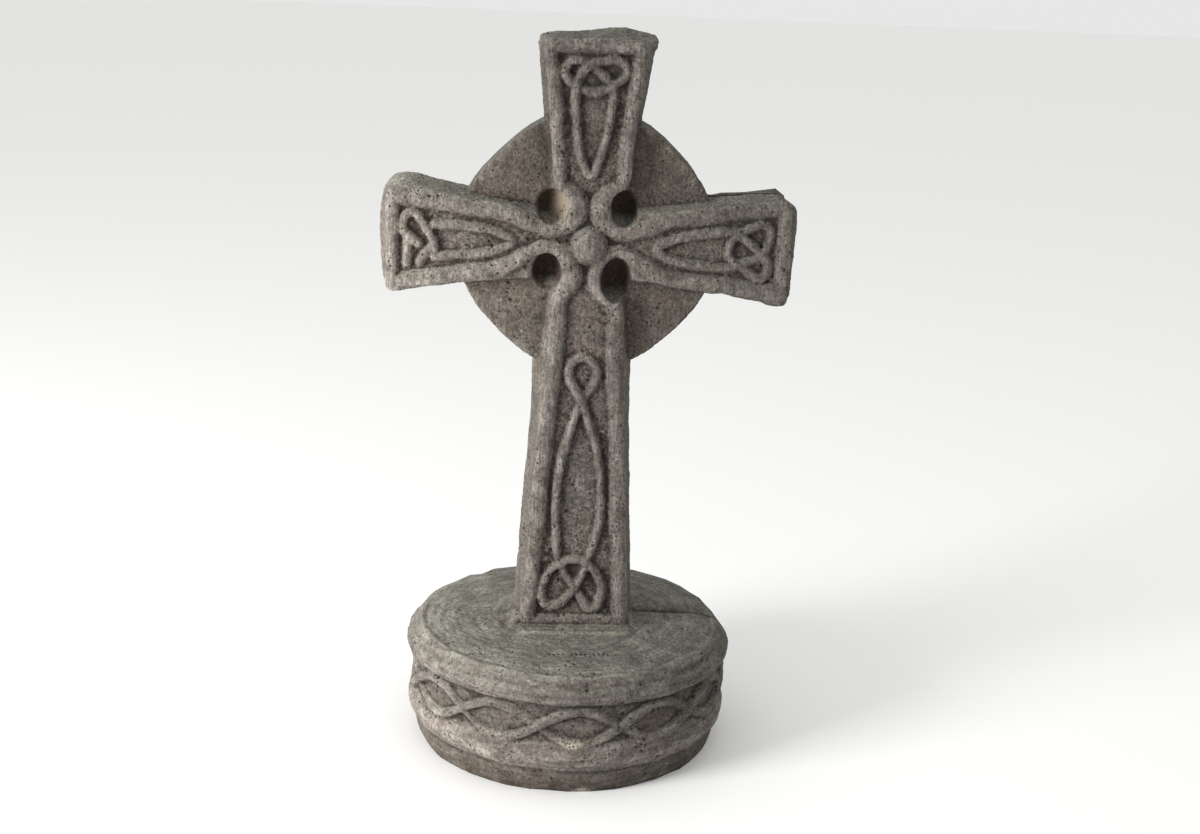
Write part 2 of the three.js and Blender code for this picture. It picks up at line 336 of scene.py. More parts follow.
def arm_half(arm, along):
    """Half the distance between an arm's two rolls, at a distance from the centre"""
    spread = arm_end_half[arm] - arm_root_half[arm]
    return arm_root_half[arm] + spread * along / arm_reach[arm]


def quarter_route(side_arm, upright_arm, hollow, wobble, front):
    """In along one arm's edge, round a hollow on the centre's side, and out along the next arm"""
    across = -1 if side_arm == "left" else 1
    up = 1 if upright_arm == "top" else -1
    x, z, half_width, half_height, band_beside, band_above = hollow
    centre = (abs(x), abs(z))
    bend_x = half_width + band_beside * (1 - ring_overlap)
    bend_z = half_height + band_above * (1 - ring_overlap)
    rise = up * left_arm_rise if side_arm == "left" else 0
    route = []
    for index in range(side_steps):
        way = index / side_steps
        along = arm_reach[side_arm] * (1 - way) + (centre[0] + bend_x) * way
        height = arm_half(side_arm, along) + rise * (1 - (way - 0.6) ** 2)
        route.append((along, height, side_roll[side_arm] / ring_roll))
    for degrees in range(285, 160, -24):
        angle = math.radians(degrees)
        spot = (centre[0] + bend_x * math.cos(angle), centre[1] + bend_z * math.sin(angle))
        beside = math.cos(angle) ** 2
        share = (band_beside * beside + band_above * (1 - beside)) / ring_roll
        route.append((*spot, share))
    steps = side_steps if up > 0 else shaft_steps
    first = centre[1] + bend_z - roll_first
    for index in range(steps + 1):
        along = first + (arm_reach[upright_arm] - first) * index / steps
        route.append((arm_half(upright_arm, along), along, side_roll[upright_arm] / ring_roll))
    points = []
    for x, z, share in route:
        x += wobble.uniform(-roll_wander, roll_wander)
        z += wobble.uniform(-roll_wander, roll_wander)
        share *= wobble.uniform(0.94, 1.07)
        points.append((on_face(across * x, up * z, 0, front), share))
    return points


def flatten(form, front):
    """Presses a round form down towards the carved ground"""
    ground = (-face_depth if front else face_depth) * mm
    for vertex in form.data.vertices:
        vertex.co.y = ground + (vertex.co.y - ground) * roll_height


def frame_rolls(front):
    """The four quarters of one face's frame and the four rolls that close its ends"""
    wobble = random.Random(11 if front else 12)
    quarters = [("left", "top"), ("right", "top"), ("left", "shaft"), ("right", "shaft")]
    rolls = []
    for (side_arm, upright_arm), hollow in zip(quarters, hollows):
        route = quarter_route(side_arm, upright_arm, hollow, wobble, front)
        rolls.append(cord("roll", route, ring_roll))
    for arm, reach in arm_reach.items():
        half = arm_end_half[arm]
        ends = {
            "top": [(-half, reach), (0, reach + 0.9), (half, reach + 0.2)],
            "left": [(-reach, -half), (-reach - 0.4, 0), (-reach, half + left_arm_rise)],
            "right": [(reach, -half), (reach + 0.6, 0), (reach, half)],
            "shaft": [(-half, -reach), (0, -reach), (half, -reach)],
        }[arm]
        route = [(on_face(x, z, 0, front), wobble.uniform(0.97, 1.06)) for x, z in ends]
        rolls.append(cord("roll", route, end_roll[arm]))
    for form in rolls:
        flatten(form, front)
    return rolls


rolls = [*frame_rolls(True), *frame_rolls(False)]
for form in [cross_slab, disc, *rolls]:
    for cutter in cutters:
        cut(form, cutter)
for cutter in cutters:
    bpy.data.objects.remove(cutter)


# Boss: a low round dome of cement where the arms meet, on both faces, cast with the body. It
# stands on the carved ground between the rolls.
boss_radius = 8.6
boss_rise = 6.4
boss_root = 3
boss_rings = 7
boss_sides = 48


def boss(front):
    """The dome, standing on the carved ground"""
    rings = [(boss_radius, -boss_root)]
    for index in range(boss_rings):
        angle = math.pi / 2 * index / boss_rings
        rings.append((boss_radius * math.cos(angle), boss_rise * math.sin(angle)))
    dome = turned("boss", boss_sides, rings)
    side = 1 if front else -1
    turn = Matrix.Rotation(side * math.pi / 2, 4, "X")
    place = Matrix.Translation(Vector((cross_x, -side * face_depth, cross_z)) * mm)
    dome.data.transform(place @ turn)
    return dome


bosses = [boss(True), boss(False)]


# Knotwork: raised cement cords on the ground of each front panel, cast with the body and lifted
# where one passes over another. The top and the shaft have one closed cord each, and a side arm
# has a pointed loop and a knot of short cords.
knot_cord = 1.95
shaft_cord = 2.1
side_cord = 2
cord_sink = -0.6
side_cord_sink = -0.4
cord_lift = 0.8
top_knot = [
    (-0.2, 31.8), (-3.8, 36.5), (-6.2, 44.4), (-7.2, 52.2), (-8, 60.1), (-8.4, 67.9, 1),
    (-6.2, 75.4, 0), (-2.7, 79.4, 1), (2.5, 81), (9, 81.8), (13, 79.3), (12.9, 75.4),
    (9, 71.9, 1), (5.1, 69.2), (-0.1, 68), (-4.4, 68.7), (-7.8, 70.4, -1), (-12, 73.4),
    (-13.4, 77), (-11.7, 80.2), (-7.6, 81.5), (-3.6, 80.3, -1), (0.5, 77.6), (4.9, 74.1),
    (7.9, 70, -1), (7.9, 65.9), (7.2, 58), (6, 50.1), (4.2, 42.1), (1.8, 35.1),
]
shaft_knot = [
    (-0.1, -71.6, -1), (5.8, -59.3), (4, -53.6), (-0.9, -51.2), (-5.6, -53.9), (-6.6, -59.1),
    (-0.6, -71.2, 1), (1.6, -76.9), (7.4, -94), (10.1, -115.1), (10.1, -128.6), (8.3, -138),
    (5.4, -147.5, -0.5), (1.9, -158.3, 1), (-4.3, -167.9), (-9.2, -171.5), (-13.4, -170.4),
    (-15.8, -165.8), (-14.9, -160), (-11.8, -154), (-7.7, -150.4, 0.5), (-1.7, -148.6),
    (4.7, -149.9, 0.6), (9.2, -154.4), (12.1, -160.5), (12.1, -167), (9.9, -172),
    (7, -172.2), (3.4, -167.9), (-0.9, -161.4, -1), (-5.2, -154.4), (-8.4, -147.6, -0.6),
    (-9.8, -134.5), (-10.5, -120.9), (-8.8, -100.6), (-5.6, -87), (-2.6, -77),
]
side_loops = [
    [
        (-69.4, 7.8), (-55.9, 7.6), (-45.3, 6.2), (-37.6, 3.7), (-34.4, 1.4), (-37.5, -1.1),
        (-46.2, -4.1), (-59.2, -5.5), (-69.1, -6.1),
    ],
    [
        (68.4, 7.6), (61.2, 8), (52.8, 7.2), (43.3, 5.5), (36.3, 3.2), (31.1, -0.3),
        (33.6, -3.2), (39.1, -5.5), (48.9, -7.3), (59.8, -8), (66.4, -7.5),
    ],
]
left_knot = [
    [
        (-80.5, 1.4), (-82.2, 5.4), (-82.3, 9.4), (-80.2, 12.5), (-77.6, 13.1), (-75, 10.5),
        (-72.7, 6.6, 0.5), (-70, 2.6, 0.8), (-68.4, -0.9, 0.5), (-68.2, -3.5),
    ],
    [(-81, 3.9), (-78.3, 1.5, 0.7), (-75.2, -1, 0.4)],
    [(-80.6, 1), (-80.2, -4, 0.3), (-80.6, -9.8, 0.2)],
    [(-69.3, -0.3, -0.5), (-71.9, -4.6, 0.3), (-75.2, -9.2, 0.5)],
]
right_knot = [
    [
        (65.7, 7, 0.5), (68.3, 6, 1), (73, 2.9, 0.8), (77.8, -1.5), (80.8, -6), (80.5, -10.3),
        (77.2, -12.6), (74, -11), (70.2, -8.3), (66.1, -5.9, 0.8), (63.1, -2.4), (63.3, 2.1),
        (65.8, 6.2),
    ],
    [
        (66.8, 6.8), (73, 10.4), (78, 11.6), (81.1, 9.7), (81.3, 6.2), (79.7, 1.6),
        (78.6, -1.5, -0.5),
    ],
    [(65.5, -5.6, -0.5), (71, -5.2), (75, -3.8, -0.3), (78.4, -2, -0.5)],
]


def knot(name, points, thickness, sink=cord_sink, closed=True):
    """A cord of a panel's knot; a point's third number lifts it over the one it crosses"""
    route = []
    for x, z, *lift in points:
        height = (lift[0] if lift else 0) * cord_lift - sink
        route.append((on_face(x, z, height, True), 1))
    return cord(name, route, thickness, closed)


knots = [knot("top_knot", top_knot, knot_cord), knot("shaft_knot", shaft_knot, shaft_cord)]
for route in side_loops:
    knots.append(knot("side_loop", route, side_cord, side_cord_sink, closed=False))
for route in left_knot:
    knots.append(knot("left_knot", route, side_cord, side_cord_sink, closed=False))
for route in right_knot:
    knots.append(knot("right_knot", route, knot_cord, side_cord_sink / 2, closed=False))


# Casting: the whole memorial as it came out of the mould, one skin of cement and sand. A ledge,
# a fillet and a lip at the shaft's foot and a lump at the top arm's corner are part of the pour.
skin_grain = 0.62
lip_cord = 1.5
nodule_spot = (25.6, -4, 87.6)
nodule_radius = 1.9
shaft_lip = [(-25, -23.6), (-12, -24.2), (0, -24.6), (12, -24.2), (26, -23.4)]
lip_height = 58.2
ledge_size = (57, 46, 2.6)
ledge_taper = 0.9
fillet_size = (66, 36, 8)
fillet_taper = 0.84


def tapered_block(name, size, taper):
    """A low block on the plinth's top round the shaft's foot, narrower above"""
    bpy.ops.object.select_all(action="DESELECT")
    bpy.ops.mesh.primitive_cube_add(size=1, location=(cross_x * mm, 0, lip_height * mm))
    block = bpy.context.object
    block.name = name
    block.scale = Vector(size) * mm
    bpy.ops.object.transform_apply(location=False)
    for vertex in block.data.vertices:
        if vertex.co.z > 0:
            vertex.co.x *= taper
            vertex.co.y *= taper
    bpy.ops.object.transform_apply()
    return block


ledge = tapered_block("ledge", ledge_size, ledge_taper)
fillet = tapered_block("fillet", fillet_size, fillet_taper)
lip_route = [((cross_x + x, y, lip_height), 1) for x, y in shaft_lip]
lip = cord("lip", lip_route, lip_cord)
bpy.ops.object.select_all(action="DESELECT")
bpy.ops.mesh.primitive_uv_sphere_add(
    segments=16, ring_count=10, radius=nodule_radius * mm,
    location=Vector((cross_x + nodule_spot[0], nodule_spot[1], cross_z + nodule_spot[2])) * mm,
)
nodule = bpy.context.object
bpy.ops.object.transform_apply()
forms = [plinth, *band_cords, cross_slab, disc, *rolls, *bosses, *knots, ledge, fillet, lip, nodule]
bpy.ops.object.select_all(action="DESELECT")
for form in forms:
    form.select_set(True)
bpy.context.view_layer.objects.active = plinth
bpy.ops.object.join()
casting = bpy.context.object
casting.name = "cross_casting"


def apply_modifier(form, name, kind, **settings):
    """Adds a modifier with its settings and makes it part of the mesh"""
    modifier = form.modifiers.new(name, kind)
    for key, value in settings.items():
        setattr(modifier, key, value)
    bpy.ops.object.modifier_apply(modifier=name)


apply_modifier(casting, "skin", "REMESH", mode="VOXEL", voxel_size=skin_grain * mm)
apply_modifier(casting, "soften", "SMOOTH", factor=0.5, iterations=2)


# Unevenness: cement that was finished by hand has slow swells and small lumps, and its skin is
# sandy. The sand is drawn at a millimetre and a half, coarser than it is, so that it shows.
def lumps(name, size, height):
    """Pushes the skin in and out by lumps of one size, in millimetres"""
    texture = bpy.data.textures.new(name, "CLOUDS")
    texture.noise_scale = size * mm
    texture.noise_depth = 1
    apply_modifier(
        casting, name, "DISPLACE", texture=texture, texture_coords="LOCAL",
        strength=height * mm, mid_level=0.5,
    )


lumps("swells", 22, 1.2)
lumps("dents", 6, 0.6)
lumps("sand", 1.5, 0.48)


def read_positions(form):
    """The mesh's points as rows of metres"""
    values = np.empty(len(form.data.vertices) * 3, dtype=np.float32)
    form.data.vertices.foreach_get("co", values)
    return values.reshape(-1, 3).astype(np.float64)


def write_positions(form, positions):
    """Puts changed points back"""
    form.data.vertices.foreach_set("co", positions.astype(np.float32).ravel())
    form.data.update()


def smoothed(positions, edges, rounds):
    """Every point moved to the middle of its neighbours, round after round"""
    first, second = edges[:, 0], edges[:, 1]
    total = len(positions)
    neighbours = np.bincount(edges.ravel(), minlength=total)
    for _ in range(rounds):
        sums = [
            np.bincount(first, positions[second, axis], total)
            + np.bincount(second, positions[first, axis], total)
            for axis in range(3)
        ]
        positions = np.stack(sums, axis=1) / neighbours[:, None]
    return positions


def read_edges(form):
    """The mesh's edges as pairs of points"""
    values = np.empty(len(form.data.edges) * 2, dtype=np.int32)
    form.data.edges.foreach_get("vertices", values)
    return values.reshape(-1, 2)


def read_normals(form):
    """The mesh's point normals"""
    values = np.empty(len(form.data.vertices) * 3, dtype=np.float32)
    form.data.vertex_normals.foreach_get("vector", values)
    return values.reshape(-1, 3).astype(np.float64)


def keep_value(form, name, values):
    """Stores one number for each point, for the material to read"""
    attribute = form.data.attributes.new(name, "FLOAT", "POINT")
    attribute.data.foreach_set("value", values.astype(np.float32))


# Wear and faults of this casting: the step and crack where the mould's halves met, a row of
# shallow strokes that aren't letters, open pores in patches, chips with pale cement in them,
# painted shade in the hollows, and painted light on one hollow's wall, which the lamp on the
# left lights. All lengths are in millimetres.
under_skim = 0.9
plinth_top = (55.5, 63)
beside_shaft = 27
cross_from = (10, 150)
arm_from = 45
seam_ramp = 1.2
step_height = 1.3
arm_step = 0.9
seam_line = [(28, 6.5), (34, 5.4), (45, 4.3), (55, 5), (66, 4.6), (72, 0)]
stroke_row = [(-11.5 + 2.05 * index, -47.6 + 0.05 * index) for index in range(15)]
stroke_length = 2.3
stroke_width = 0.95
stroke_depth = 0.9
stroke_leans = (0.5, -0.4, 0, 0.7)
stroke_gap = 5
pore_count = 420
pore_radius = 0.9
pore_depth = 0.7
crack_depth = 0.9
plinth_crack = 1.5
arm_crack = 2
crack_edge = 1.2
pore_waves = 9
pore_choice = 4
chip_squash = (1, 1, 2.2)
chip_edge = 1.4
hollow_shade_edge = (1.08, 0.12)
near_rounds = 18
wide_rounds = 180
triangle_limit = 194000
front_share = 0.35
thinned_behind = 4
chips = [((-1, -75, 25.8), 4.4), ((-5, -74.5, 26.6), 2.6), ((4, -69, 1), 3.4), ((-62, -42, 50), 2)]


def ease(values):
    """Turns numbers into a soft step from 0 to 1"""
    share = np.clip(values, 0, 1)
    return share * share * (3 - 2 * share)


positions = read_positions(casting) / mm
x, y, z = positions.T.copy()
seam_x, seam_y = np.array(seam_line).T
from_seam = y - np.interp(x, seam_x, seam_y)
behind = ease(from_seam / seam_ramp)
on_top = ease((z - plinth_top[0]) / 1.5) * ease((x - beside_shaft) / 4) * (z < plinth_top[1])
positions[:, 2] += step_height * behind * on_top * (1 - 0.4 * ease((x - 40) / 30))
on_cross = ease((z - cross_from[1]) / 20) * ease((x - cross_from[0]) / 20)
positions[:, 2] += arm_step * ease((y - 0.3) / seam_ramp) * on_cross
normals = read_normals(casting)
facing_up = ease((normals[:, 2] - 0.4) / 0.3)
crack = on_top * ease(crack_edge - np.abs(from_seam) / plinth_crack)
on_arm = on_cross * ease((x - arm_from) / 10)
crack = np.maximum(crack, on_arm * ease(crack_edge - np.abs(y - 1) / arm_crack))
crack *= facing_up
positions[:, 2] -= crack_depth * crack
strokes = np.zeros(len(positions))
for index, (stroke_x, stroke_y) in enumerate(stroke_row):
    if (index + 1) % stroke_gap == 0:
        continue
    lean = stroke_leans[index % len(stroke_leans)]
    along = (y - stroke_y) / stroke_length
    off = np.abs(x - stroke_x - lean * along)
    groove = ease(1 - off / stroke_width) * (np.abs(along) < 0.5) * (z > 56) * (z < 60)
    positions[:, 2] -= stroke_depth * groove
    strokes = np.maximum(strokes, groove)

pore_random = np.random.default_rng(5)
pore = np.maximum(0.7 * strokes, 0.85 * crack)
pit = np.zeros(len(positions))
clustered = pore_random.normal(size=(6, 3))
waves = sum(
    np.sin(positions @ wave / pore_waves + 2 * turn) for turn, wave in enumerate(clustered)
)
picks = pore_random.choice(len(positions), pore_count * pore_choice, replace=False)
picks = picks[np.argsort(waves[picks])[::-1][:pore_count]]
tree = KDTree(len(positions))
for index, place in enumerate(positions):
    tree.insert(place, index)
tree.balance()
for pick in picks:
    radius = pore_radius * pore_random.uniform(0.7, 1.25)
    for _, index, distance in tree.find_range(positions[pick], radius):
        pit[index] = max(pit[index], 1 - (distance / radius) ** 2)
positions -= normals * (pit * pore_depth)[:, None]
pore = np.maximum(pore, pit)

bare = np.zeros(len(positions))
for place, radius in chips:
    distance = np.linalg.norm((positions - np.array(place)) * chip_squash, axis=1)
    bare = np.maximum(bare, ease(chip_edge - distance / radius))
# Painted shade: the insides of the hollows, and just round their rims, are darkened where shade
# falls
hollow_shade = np.zeros(len(positions))
for hollow_x, hollow_z, half_width, half_height, _, _ in hollows:
    across = (x - cross_x - hollow_x) / half_width
    upward = (z - cross_z - hollow_z) / half_height
    hollow_shade = np.maximum(hollow_shade, ease((hollow_shade_edge[0] - np.hypot(across, upward)) / hollow_shade_edge[1]))
hollow_shade *= ease((face_depth + 2 - np.abs(y)) / 2)
# Painted light: the right part of the top-left front hollow is painted pale, where the lamp on the
# left lights its wall
hollow_x, hollow_z, half_width = hollows[0][:3]
lit_hollow_wall = hollow_shade * ease(((x - cross_x - hollow_x) / half_width + 0.3) / 1.2)
lit_hollow_wall *= (np.hypot(x - cross_x - hollow_x, z - cross_z - hollow_z) < 9) * (y < 0)
hollow_shade *= 1 - lit_hollow_wall
front_lip = ease(1 - np.abs(y + 24.8) / 2) * ease(1 - np.abs(z - 59) / 2.2)
bare = np.maximum(bare, 0.4 * front_lip * (np.abs(x) < 27))
positions[positions[:, 2] < under_skim, 2] = 0
write_positions(casting, positions * mm)

positions = read_positions(casting)
edges = read_edges(casting)
normals = read_normals(casting)
near = smoothed(positions, edges, near_rounds)
wide = smoothed(near, edges, wide_rounds)
x, y, z = (positions / mm).T
from_centre = np.hypot(x - cross_x, z - cross_z)
sunk = ease((face_depth - 3 - np.abs(y)) / 3) * ease((disc_radius + 0.5 - from_centre) / 1.5)
kept_values = {
    "relief": np.einsum("ij,ij->i", positions - near, normals) / mm,
    "bulk": np.einsum("ij,ij->i", near - wide, normals) / mm,
    "wash": sunk * (z > cross_from[1]),
    "hollow_shade": hollow_shade,
    "lit_hollow_wall": lit_hollow_wall,
    "pore": pore,
    "bare": bare,
}
for name, values in kept_values.items():
    keep_value(casting, name, values)

thinned = casting.vertex_groups.new(name="thinned")
hidden = (y > thinned_behind) | (z < 0.5)
thinned.add(np.flatnonzero(hidden).tolist(), 1, "REPLACE")
thinned.add(np.flatnonzero(~hidden).tolist(), front_share, "REPLACE")
triangles = sum(len(face.vertices) - 2 for face in casting.data.polygons)
apply_modifier(
    casting, "thin", "DECIMATE", ratio=min(1, triangle_limit / triangles),
    vertex_group="thinned", vertex_group_factor=1,
)
casting.vertex_groups.clear()
bpy.ops.object.shade_smooth()


# Cast stone: cement and sand with a rubbed-off dark wash, so the ridges show pale, the grooves
# dark from the wash and from painted shade, and the whole is matt and speckled by sand and open
# pores. Light and shade are painted in too: brighter on the left, darker on the right and high
# up, a highlight on the lower bead, shade on the foot and in the hollows, and one hollow's wall
# lit. Real grains are under half a millimetre, too fine to show, so they are drawn at one to two
# millimetres.
def linear(hex_colour):
    """An sRGB hex colour as the linear numbers that the shader takes"""
    channels = [int(hex_colour[start:start + 2], 16) / 255 for start in (1, 3, 5)]
    return [c / 12.92 if c <= 0.04045 else ((c + 0.055) / 1.055) ** 2.4 for c in channels] + [1]


def add_node(tree, kind, inputs, output=0, **settings):
    """Adds a node; an input is a value or another node's output, and one output comes back"""
    node = tree.nodes.new(kind)
    for key, value in settings.items():
        setattr(node, key, value)
    for key, value in inputs.items():
        if isinstance(value, bpy.types.NodeSocket):
            tree.links.new(value, node.inputs[key])
        else:
            node.inputs[key].default_value = value
    return node.outputs[output]


def cast_stone():
    """The stone; its patterns sit on Object coordinates and on the values kept on the casting"""
    material = bpy.data.materials.new("cast stone, cement and sand, dark wash")
    material.use_nodes = True
    tree = material.node_tree
    shader = tree.nodes["Principled BSDF"]
    place = add_node(tree, "ShaderNodeTexCoord", {}, "Object")
    x, y, z = [add_node(tree, "ShaderNodeSeparateXYZ", {"Vector": place}, axis) for axis in "XYZ"]
    normal = add_node(tree, "ShaderNodeNewGeometry", {}, "Normal")
    upward = add_node(tree, "ShaderNodeSeparateXYZ", {"Vector": normal}, "Z")
    kept = {
        name: add_node(tree, "ShaderNodeAttribute", {}, "Fac", attribute_name=name)
        for name in kept_values
    }

    # Brush streaks run down the cross and round the plinth
    drawn_out = add_node(tree, "ShaderNodeMapping", {"Vector": place, "Scale": (1, 1, 0.12)})
    flat = add_node(tree, "ShaderNodeMapping", {"Vector": place, "Scale": (1, 1, 0)})
    radius = add_node(tree, "ShaderNodeVectorMath", {0: flat}, "Value", operation="LENGTH")
    turn = add_node(tree, "ShaderNodeMath", {0: y, 1: x}, operation="ARCTAN2")
    arc = add_node(tree, "ShaderNodeMath", {0: turn, 1: 12 * mm}, operation="MULTIPLY")
    round_plinth = add_node(tree, "ShaderNodeCombineXYZ", {"X": radius, "Y": arc, "Z": z})

    # Patterns: each one's place, size in millimetres, detail and roughness
    noise = {}
    for name, vector, size, detail, rough in (
        ("ground", place, 26, 2, 0.5),
        ("ridges", place, 9, 3, 0.5),
        ("rubbing", place, 2.2, 3, 0.6),
        ("stains", place, 7, 4, 0.6),
        ("wash", place, 15, 4, 0.5),
        ("growth", place, 14, 3, 0.5),
        ("foot patches", place, 8, 3, 0.5),
        ("clouds", place, 10, 5, 0.68),
        ("clumps", place, 1.6, 5, 0.78),
        ("grain", place, 1.1, 2, 0.6),
        ("streaks", drawn_out, 1.1, 2, 0.6),
        ("rings", round_plinth, 2.4, 3, 0.6),
        ("speckled", place, 8, 2, 0.5),
        ("dark sand", place, 1, 3, 0.7),
        ("pale sand", place, 0.9, 2, 0.7),
        ("crumbs", place, 1.6, 3, 0.6),
        ("pore patches", place, 10, 2, 0.5),
        ("fine bumps", place, 0.8, 3, 0.6),
        ("coarse bumps", place, 2.6, 2, 0.5),
    ):
        noise[name] = add_node(tree, "ShaderNodeTexNoise", {
            "Vector": vector, "Scale": 1 / (size * mm), "Detail": detail, "Roughness": rough,
        })
    pin_holes = {"Vector": place, "Scale": 1 / (2.8 * mm)}
    pin_holes = add_node(tree, "ShaderNodeTexVoronoi", pin_holes, "Distance")

    # How far a place stands out of the skin round it, with a ragged edge from the rubbing
    bulk = add_node(tree, "ShaderNodeMath", {0: kept["bulk"], 1: 0.12}, operation="MULTIPLY")
    stand = add_node(tree, "ShaderNodeMath", {0: kept["relief"], 1: bulk}, operation="ADD")
    uneven = add_node(tree, "ShaderNodeMapRange", {
        "Value": noise["rubbing"], "From Min": 0.3, "From Max": 0.7,
        "To Min": -0.25, "To Max": 0.25,
    })
    stand = add_node(tree, "ShaderNodeMath", {0: stand, 1: uneven}, operation="ADD")

    # Steps: what is read, from where to where, and the strength at either end
    step = {}
    for name, value, low, high, at_low, at_high in (
        ("ground", noise["ground"], 0.35, 0.65, 0, 1),
        ("ridges", noise["ridges"], 0.35, 0.65, 0, 1),
        ("rubbed", stand, -0.1, 0.45, 0, 1),
        ("wash and shade in grooves", stand, -0.18, -0.6, 0, 1),
        ("stains", noise["stains"], 0.5, 0.66, 0, 0.6),
        ("wash", noise["wash"], 0.35, 0.65, 0.2, 0.75),
        ("facing up", upward, 0.4, 0.95, 0, 1),
        ("growth", noise["growth"], 0.35, 0.6, 0.45, 0.85),
        # Painted shade: darker brown patches towards the bottom, where the foot tucks under and
        # faces down
        ("near the bottom", z, 14 * mm, 3 * mm, 0, 1),
        ("foot patches", noise["foot patches"], 0.35, 0.6, 0.35, 0.9),
        # Painted light and shade: brighter towards the left and darker towards the right, as the
        # lamp on the left lights that side more
        ("left", x, -75 * mm, 0, 1.58, 1),
        ("right", x, 0, 75 * mm, 1, 0.77),
        # Painted shade: the top of the cross darker, the panels more than their ridges
        ("painted shade high up", z, 250 * mm, 310 * mm, 1, 0.86),
        ("painted shade on high panels", z, 250 * mm, 310 * mm, 1, 0.85),
        ("high ridges", stand, 0.1, 0.4, 0, 1),
        ("across the top arm", x, -20 * mm, 20 * mm, 0.84, 1.12),
        ("on the top arm", z, 255 * mm, 280 * mm, 0, 1),
        ("upper bead", z, 56 * mm, 51 * mm, 1, 0.9),
        ("band", z, 47 * mm, 43 * mm, 1, 0.97),
        # Painted highlight: the plinth brighter from the lower bead down
        ("lower bead", z, 30 * mm, 24 * mm, 1, 1.4),
        # Painted shade on the foot, which faces down
        ("foot", z, 17 * mm, 9 * mm, 1, 0.76),
        ("clouds", noise["clouds"], 0.35, 0.65, 0.82, 1.18),
        ("clumps", noise["clumps"], 0.34, 0.66, 0.62, 1.38),
        ("on a ridge", stand, 0, 0.3, 0, 1),
        ("on the plinth", z, 62 * mm, 60 * mm, 0, 1),
        ("speckled", noise["speckled"], 0.42, 0.6, 0.25, 1),
        ("dark sand", noise["dark sand"], 0.45, 0.37, 0, 0.85),
        ("pale sand", noise["pale sand"], 0.56, 0.66, 1, 1.35),
        ("crumbs", noise["crumbs"], 0.36, 0.5, 0, 1),
        ("pore patches", noise["pore patches"], 0.45, 0.58, 0, 1),
        ("pin holes", pin_holes, 0.2, 0.13, 0, 1),
        ("open pores", kept["pore"], 0.3, 0.8, 0, 1),
    ):
        step[name] = add_node(tree, "ShaderNodeMapRange", {
            "Value": value, "From Min": low, "From Max": high, "To Min": at_low, "To Max": at_high,
        })
    # Painted shade high on the cross, kept off the ridges
    panels = add_node(tree, "ShaderNodeMix", {0: step["high ridges"], 2: step["painted shade on high panels"], 3: 1})
    top_arm = {0: step["on the top arm"], 2: 1, 3: step["across the top arm"]}
    top_arm = add_node(tree, "ShaderNodeMix", top_arm)
    streaks = {0: step["on a ridge"], 2: noise["grain"], 3: noise["streaks"]}
    streaks = add_node(tree, "ShaderNodeMix", streaks)
    streaks = {0: step["on the plinth"], 2: streaks, 3: noise["rings"]}
    streaks = add_node(tree, "ShaderNodeMix", streaks)
    streaks = add_node(tree, "ShaderNodeMapRange", {
        "Value": streaks, "From Min": 0.35, "From Max": 0.65, "To Min": 0.7, "To Max": 1.3,
    })
    sand = {0: step["dark sand"], 1: step["speckled"]}
    sand = add_node(tree, "ShaderNodeMath", sand, operation="MULTIPLY")
    sand = add_node(tree, "ShaderNodeMath", {0: 1.0, 1: sand}, operation="SUBTRACT")

    product = {}
    for name, (total, *factors) in {
        "washed": (kept["wash"], step["wash"]),
        "shaded hollows": (kept["hollow_shade"], 0.8),
        "grown over": (step["facing up"], step["growth"]),
        "shaded foot": (step["near the bottom"], step["foot patches"]),
        "lit_hollow_wall": (kept["lit_hollow_wall"], 0.85),
        "chipped": (kept["bare"], step["crumbs"]),
        "pores": (step["pin holes"], step["pore patches"]),
        "coarse bumps": (noise["coarse bumps"], 1.2),
        "grain, tone and painted light": (
            step["clumps"], streaks, sand, step["pale sand"], panels, step["left"],
            step["right"], step["painted shade high up"], top_arm, step["upper bead"], step["band"],
            step["lower bead"], step["foot"], step["clouds"],
        ),
    }.items():
        for factor in factors:
            total = add_node(tree, "ShaderNodeMath", {0: total, 1: factor}, operation="MULTIPLY")
        product[name] = total
    pores = {0: product["pores"], 1: step["open pores"]}
    pores = add_node(tree, "ShaderNodeMath", pores, operation="MAXIMUM")

    # Colours, from the ground up: how much of it, what it lies on and what it is
    body = {0: step["ground"], 6: linear("#554d46"), 7: linear("#534f4a")}
    body = add_node(tree, "ShaderNodeMix", body, 2, data_type="RGBA")
    worn = {0: step["ridges"], 6: linear("#5c5650"), 7: linear("#6b6660")}
    worn = add_node(tree, "ShaderNodeMix", worn, 2, data_type="RGBA")
    colour = {0: step["rubbed"], 6: body, 7: worn}
    colour = add_node(tree, "ShaderNodeMix", colour, 2, data_type="RGBA")
    for share, paint, blend in (
        (step["stains"], linear("#463e38"), "MIX"),
        # Dark wash left in the grooves, deepened into painted shade in the narrow creases
        (step["wash and shade in grooves"], linear("#2f2823"), "MIX"),
        (product["washed"], linear("#4b433c"), "MIX"),
        # Painted shade inside the hollows
        (product["shaded hollows"], linear("#32281f"), "MIX"),
        (product["grown over"], linear("#76756b"), "MIX"),
        # Painted shade on the foot
        (product["shaded foot"], linear("#3d342c"), "MIX"),
        # Multiplies in the sand grain, random tone and a stain, with the painted light and shade by
        # side, height and plinth zone
        (1.0, product["grain, tone and painted light"], "MULTIPLY"),
        # Painted highlight on the lit wall of the top-left hollow
        (product["lit_hollow_wall"], linear("#8d8270"), "MIX"),
        (product["chipped"], linear("#9a9282"), "MIX"),
        (pores, linear("#26201c"), "MIX"),
    ):
        layer = {0: share, 6: colour, 7: paint}
        colour = add_node(tree, "ShaderNodeMix", layer, 2, data_type="RGBA", blend_type=blend)
    tree.links.new(colour, shader.inputs["Base Color"])
    shader.inputs["Roughness"].default_value = 0.92
    shader.inputs["Specular IOR Level"].default_value = 0.3

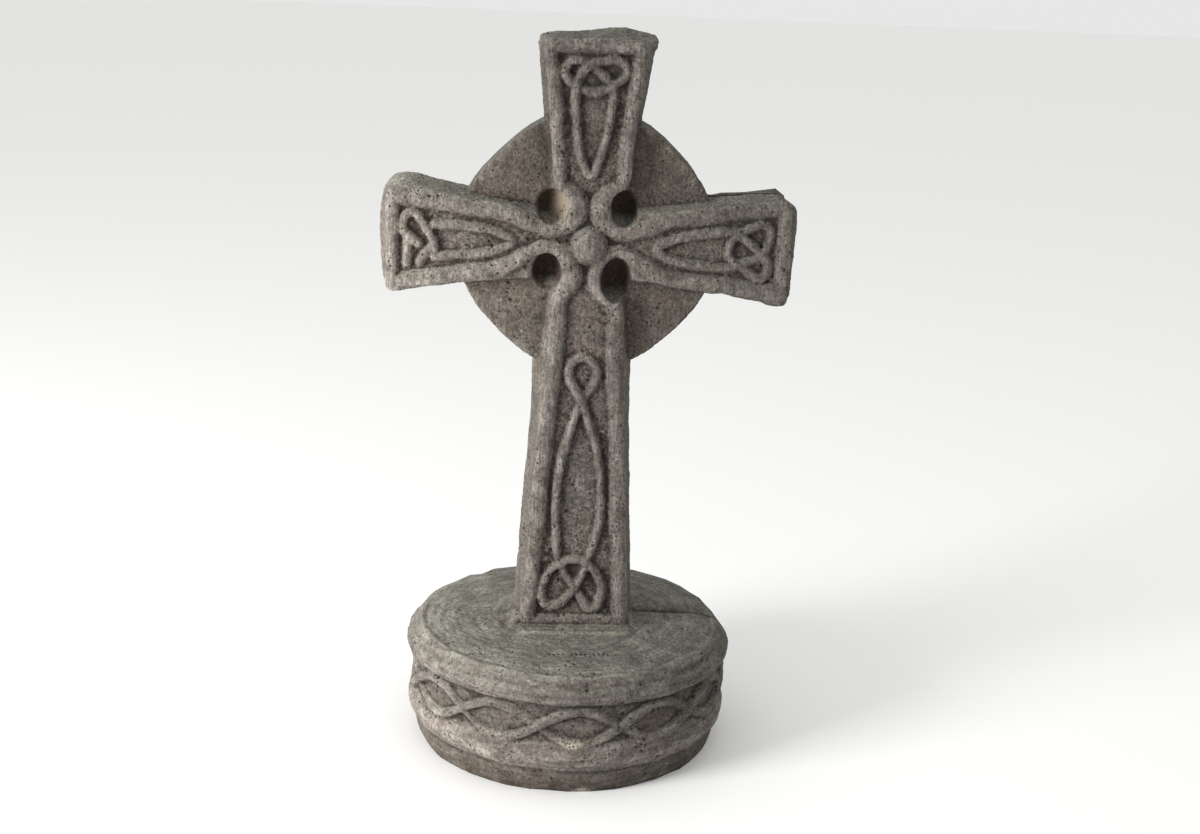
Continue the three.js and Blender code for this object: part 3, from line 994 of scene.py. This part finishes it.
    # A sandy skin, with the pores sunk into it
    sandy = {0: noise["fine bumps"], 1: product["coarse bumps"]}
    sandy = add_node(tree, "ShaderNodeMath", sandy, operation="ADD")
    sunk_pores = add_node(tree, "ShaderNodeMath", {0: pores, 1: 1.5}, operation="MULTIPLY")
    sandy = add_node(tree, "ShaderNodeMath", {0: sandy, 1: sunk_pores}, operation="SUBTRACT")
    sandy = {"Height": sandy, "Strength": 0.9, "Distance": 0.4 * mm}
    tree.links.new(add_node(tree, "ShaderNodeBump", sandy), shader.inputs["Normal"])
    return material


casting.data.materials.clear()
casting.data.materials.append(cast_stone())
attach(casting, "root")
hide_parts("ringed_cross")


# Floor and studio light, not part of the casting: a pale ground, a large soft lamp on the left, a
# weak one on the right and an even white surround. Lamps are placed in metres.
floor_size = 12
aim_share = 0.7
key_place = (-1.15, -0.68, 0.38)
fill_place = (1.5, -1.3, 0.8)
bpy.ops.object.select_all(action="DESELECT")
bpy.ops.mesh.primitive_plane_add(size=floor_size)
floor = bpy.context.object
floor.name = "floor"
floor_paint = bpy.data.materials.new("pale studio floor")
floor_paint.use_nodes = True
floor_shader = floor_paint.node_tree.nodes["Principled BSDF"]
floor_shader.inputs["Base Color"].default_value = linear("#fafaf8")
floor_shader.inputs["Roughness"].default_value = 0.9
floor.data.materials.append(floor_paint)


def soft_lamp(name, place, size, power):
    """A square lamp that faces the shaft"""
    bpy.ops.object.light_add(type="AREA", location=place)
    lamp = bpy.context.object
    lamp.name = name
    lamp.data.size = size
    lamp.data.energy = power
    aim = Vector((0, 0, cross_z * mm * aim_share)) - lamp.location
    lamp.rotation_euler = aim.to_track_quat("-Z", "Y").to_euler()


soft_lamp("key", key_place, 0.5, 27)
soft_lamp("fill", fill_place, 1.6, 2)
world = bpy.data.worlds.new("studio")
bpy.context.scene.world = world
world.use_nodes = True
surround = world.node_tree.nodes["Background"]
surround.inputs["Color"].default_value = linear("#ffffff")
surround.inputs["Strength"].default_value = 0.8
# Plain display colours keep the stone's own tones and leave the ground white
bpy.context.scene.view_settings.view_transform = "Standard"
